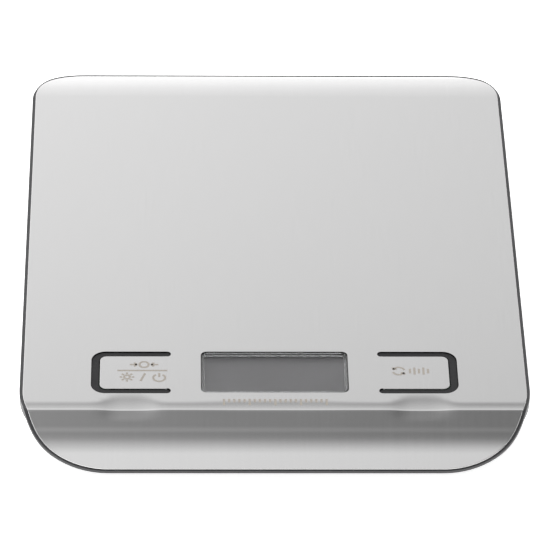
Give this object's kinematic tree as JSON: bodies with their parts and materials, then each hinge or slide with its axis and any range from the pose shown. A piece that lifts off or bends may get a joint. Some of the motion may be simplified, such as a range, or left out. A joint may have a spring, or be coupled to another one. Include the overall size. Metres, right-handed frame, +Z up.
{
  "type": "kitchen scale",
  "caption": "Slim rectangular kitchen scale: brushed steel platform with a sloping front lip, a display window and spring keys, on a dark housing with load-cell feet.",
  "frame": {"origin": "under the middle of the scale, on the table, at the level of the feet's soles", "axes": "+Z up; the front lip faces -Y; +X is to the right of a person who reads the display"},
  "size_m": [0.18, 0.23, 0.016],
  "materials": {
    "steel": "fine brushed front to back, satin",
    "housing_plastic": "fine spark-eroded texture",
    "seal": "matt silicone",
    "adhesive": "thin film",
    "window": "clear, polished",
    "bezel": "matt",
    "lcd_glass": "polished",
    "lcd_face": "matt film",
    "reflector": "satin white",
    "board": "solder mask",
    "chip": "epoxy",
    "component": "mixed",
    "switch_body": "moulded",
    "plunger": "moulded",
    "post": "moulded",
    "cell_steel": "stamped",
    "gauge": "potting",
    "screw": "zinc plated",
    "foot_plastic": "moulded",
    "foot_rubber": "matt",
    "wire_white": "PVC",
    "wire_red": "PVC",
    "wire_black": "PVC",
    "battery": "plain printed sleeve",
    "contact": "nickel plated"
  },
  "bodies": {
    "housing": {"platform_plate": "steel", "plate_adhesive": "adhesive", "upper_frame": "housing_plastic", "base_shell": "housing_plastic", "display_window": "window", "display_bezel": "bezel", "lcd_cell": "lcd_glass", "lcd_polarizer": "lcd_face", "lcd_reflector": "reflector", "zebra_connector": "seal", "circuit_board": "board", "controller_chip": "chip", "board_components": "component", "housing_screws": "screw", "board_screws": "screw", "load_cell_screws": "screw", "strain_gauges": "gauge", "battery_lead_red": "wire_red", "battery_lead_black": "wire_black", "battery_1": "battery", "battery_2": "battery", "battery_contact_positive": "contact", "battery_contact_negative": "contact", "battery_contact_bridge": "contact", "battery_spring_1": "contact", "battery_spring_2": "contact", "slot_seal_left": "seal", "switch_body_left": "switch_body", "slot_seal_right": "seal", "switch_body_right": "switch_body", "foot_cup_front_left": "foot_plastic", "foot_pad_front_left": "foot_rubber", "load_cell_front_left": "cell_steel", "load_cell_lead_front_left": "wire_white", "foot_cup_front_right": "foot_plastic", "foot_pad_front_right": "foot_rubber", "load_cell_front_right": "cell_steel", "load_cell_lead_front_right": "wire_white", "foot_cup_rear_left": "foot_plastic", "foot_pad_rear_left": "foot_rubber", "load_cell_rear_left": "cell_steel", "load_cell_lead_rear_left": "wire_white", "foot_cup_rear_right": "foot_plastic", "foot_pad_rear_right": "foot_rubber", "load_cell_rear_right": "cell_steel", "load_cell_lead_rear_right": "wire_white"},
    "key_left": {"key_tab_left": "steel", "key_post_left": "post"},
    "plunger_left": {"switch_plunger_left": "plunger"},
    "key_right": {"key_tab_right": "steel", "key_post_right": "post"},
    "plunger_right": {"switch_plunger_right": "plunger"},
    "battery_cover": {"battery_cover": "housing_plastic"}
  },
  "joints": [
    {"name": "key_press_left", "type": "hinge", "parent": "housing", "child": "key_left", "pos_m": [-0.03815, -0.0745, 0.01575], "axis": [0, -1, 0], "range_deg": [0, 1], "stiffness_Nm_per_rad": 1.5},
    {"name": "switch_travel_left", "type": "slide", "parent": "housing", "child": "plunger_left", "axis": [0, 0, -1], "range_m": [0, 0.00035]},
    {"name": "key_press_right", "type": "hinge", "parent": "housing", "child": "key_right", "pos_m": [0.03815, -0.0745, 0.01575], "axis": [0, 1, 0], "range_deg": [0, 1], "stiffness_Nm_per_rad": 1.5},
    {"name": "switch_travel_right", "type": "slide", "parent": "housing", "child": "plunger_right", "axis": [0, 0, -1], "range_m": [0, 0.00035]},
    {"name": "battery_cover_hinge", "type": "hinge", "parent": "housing", "child": "battery_cover", "pos_m": [0, -0.0374, 0.0032], "axis": [-1, 0, 0], "range_deg": [0, 75]}
  ],
  "couplings": [
    {"joint": "switch_travel_left", "follows": "key_press_left", "m_per_rad": 0.01735},
    {"joint": "switch_travel_right", "follows": "key_press_right", "m_per_rad": 0.01735}
  ]
}
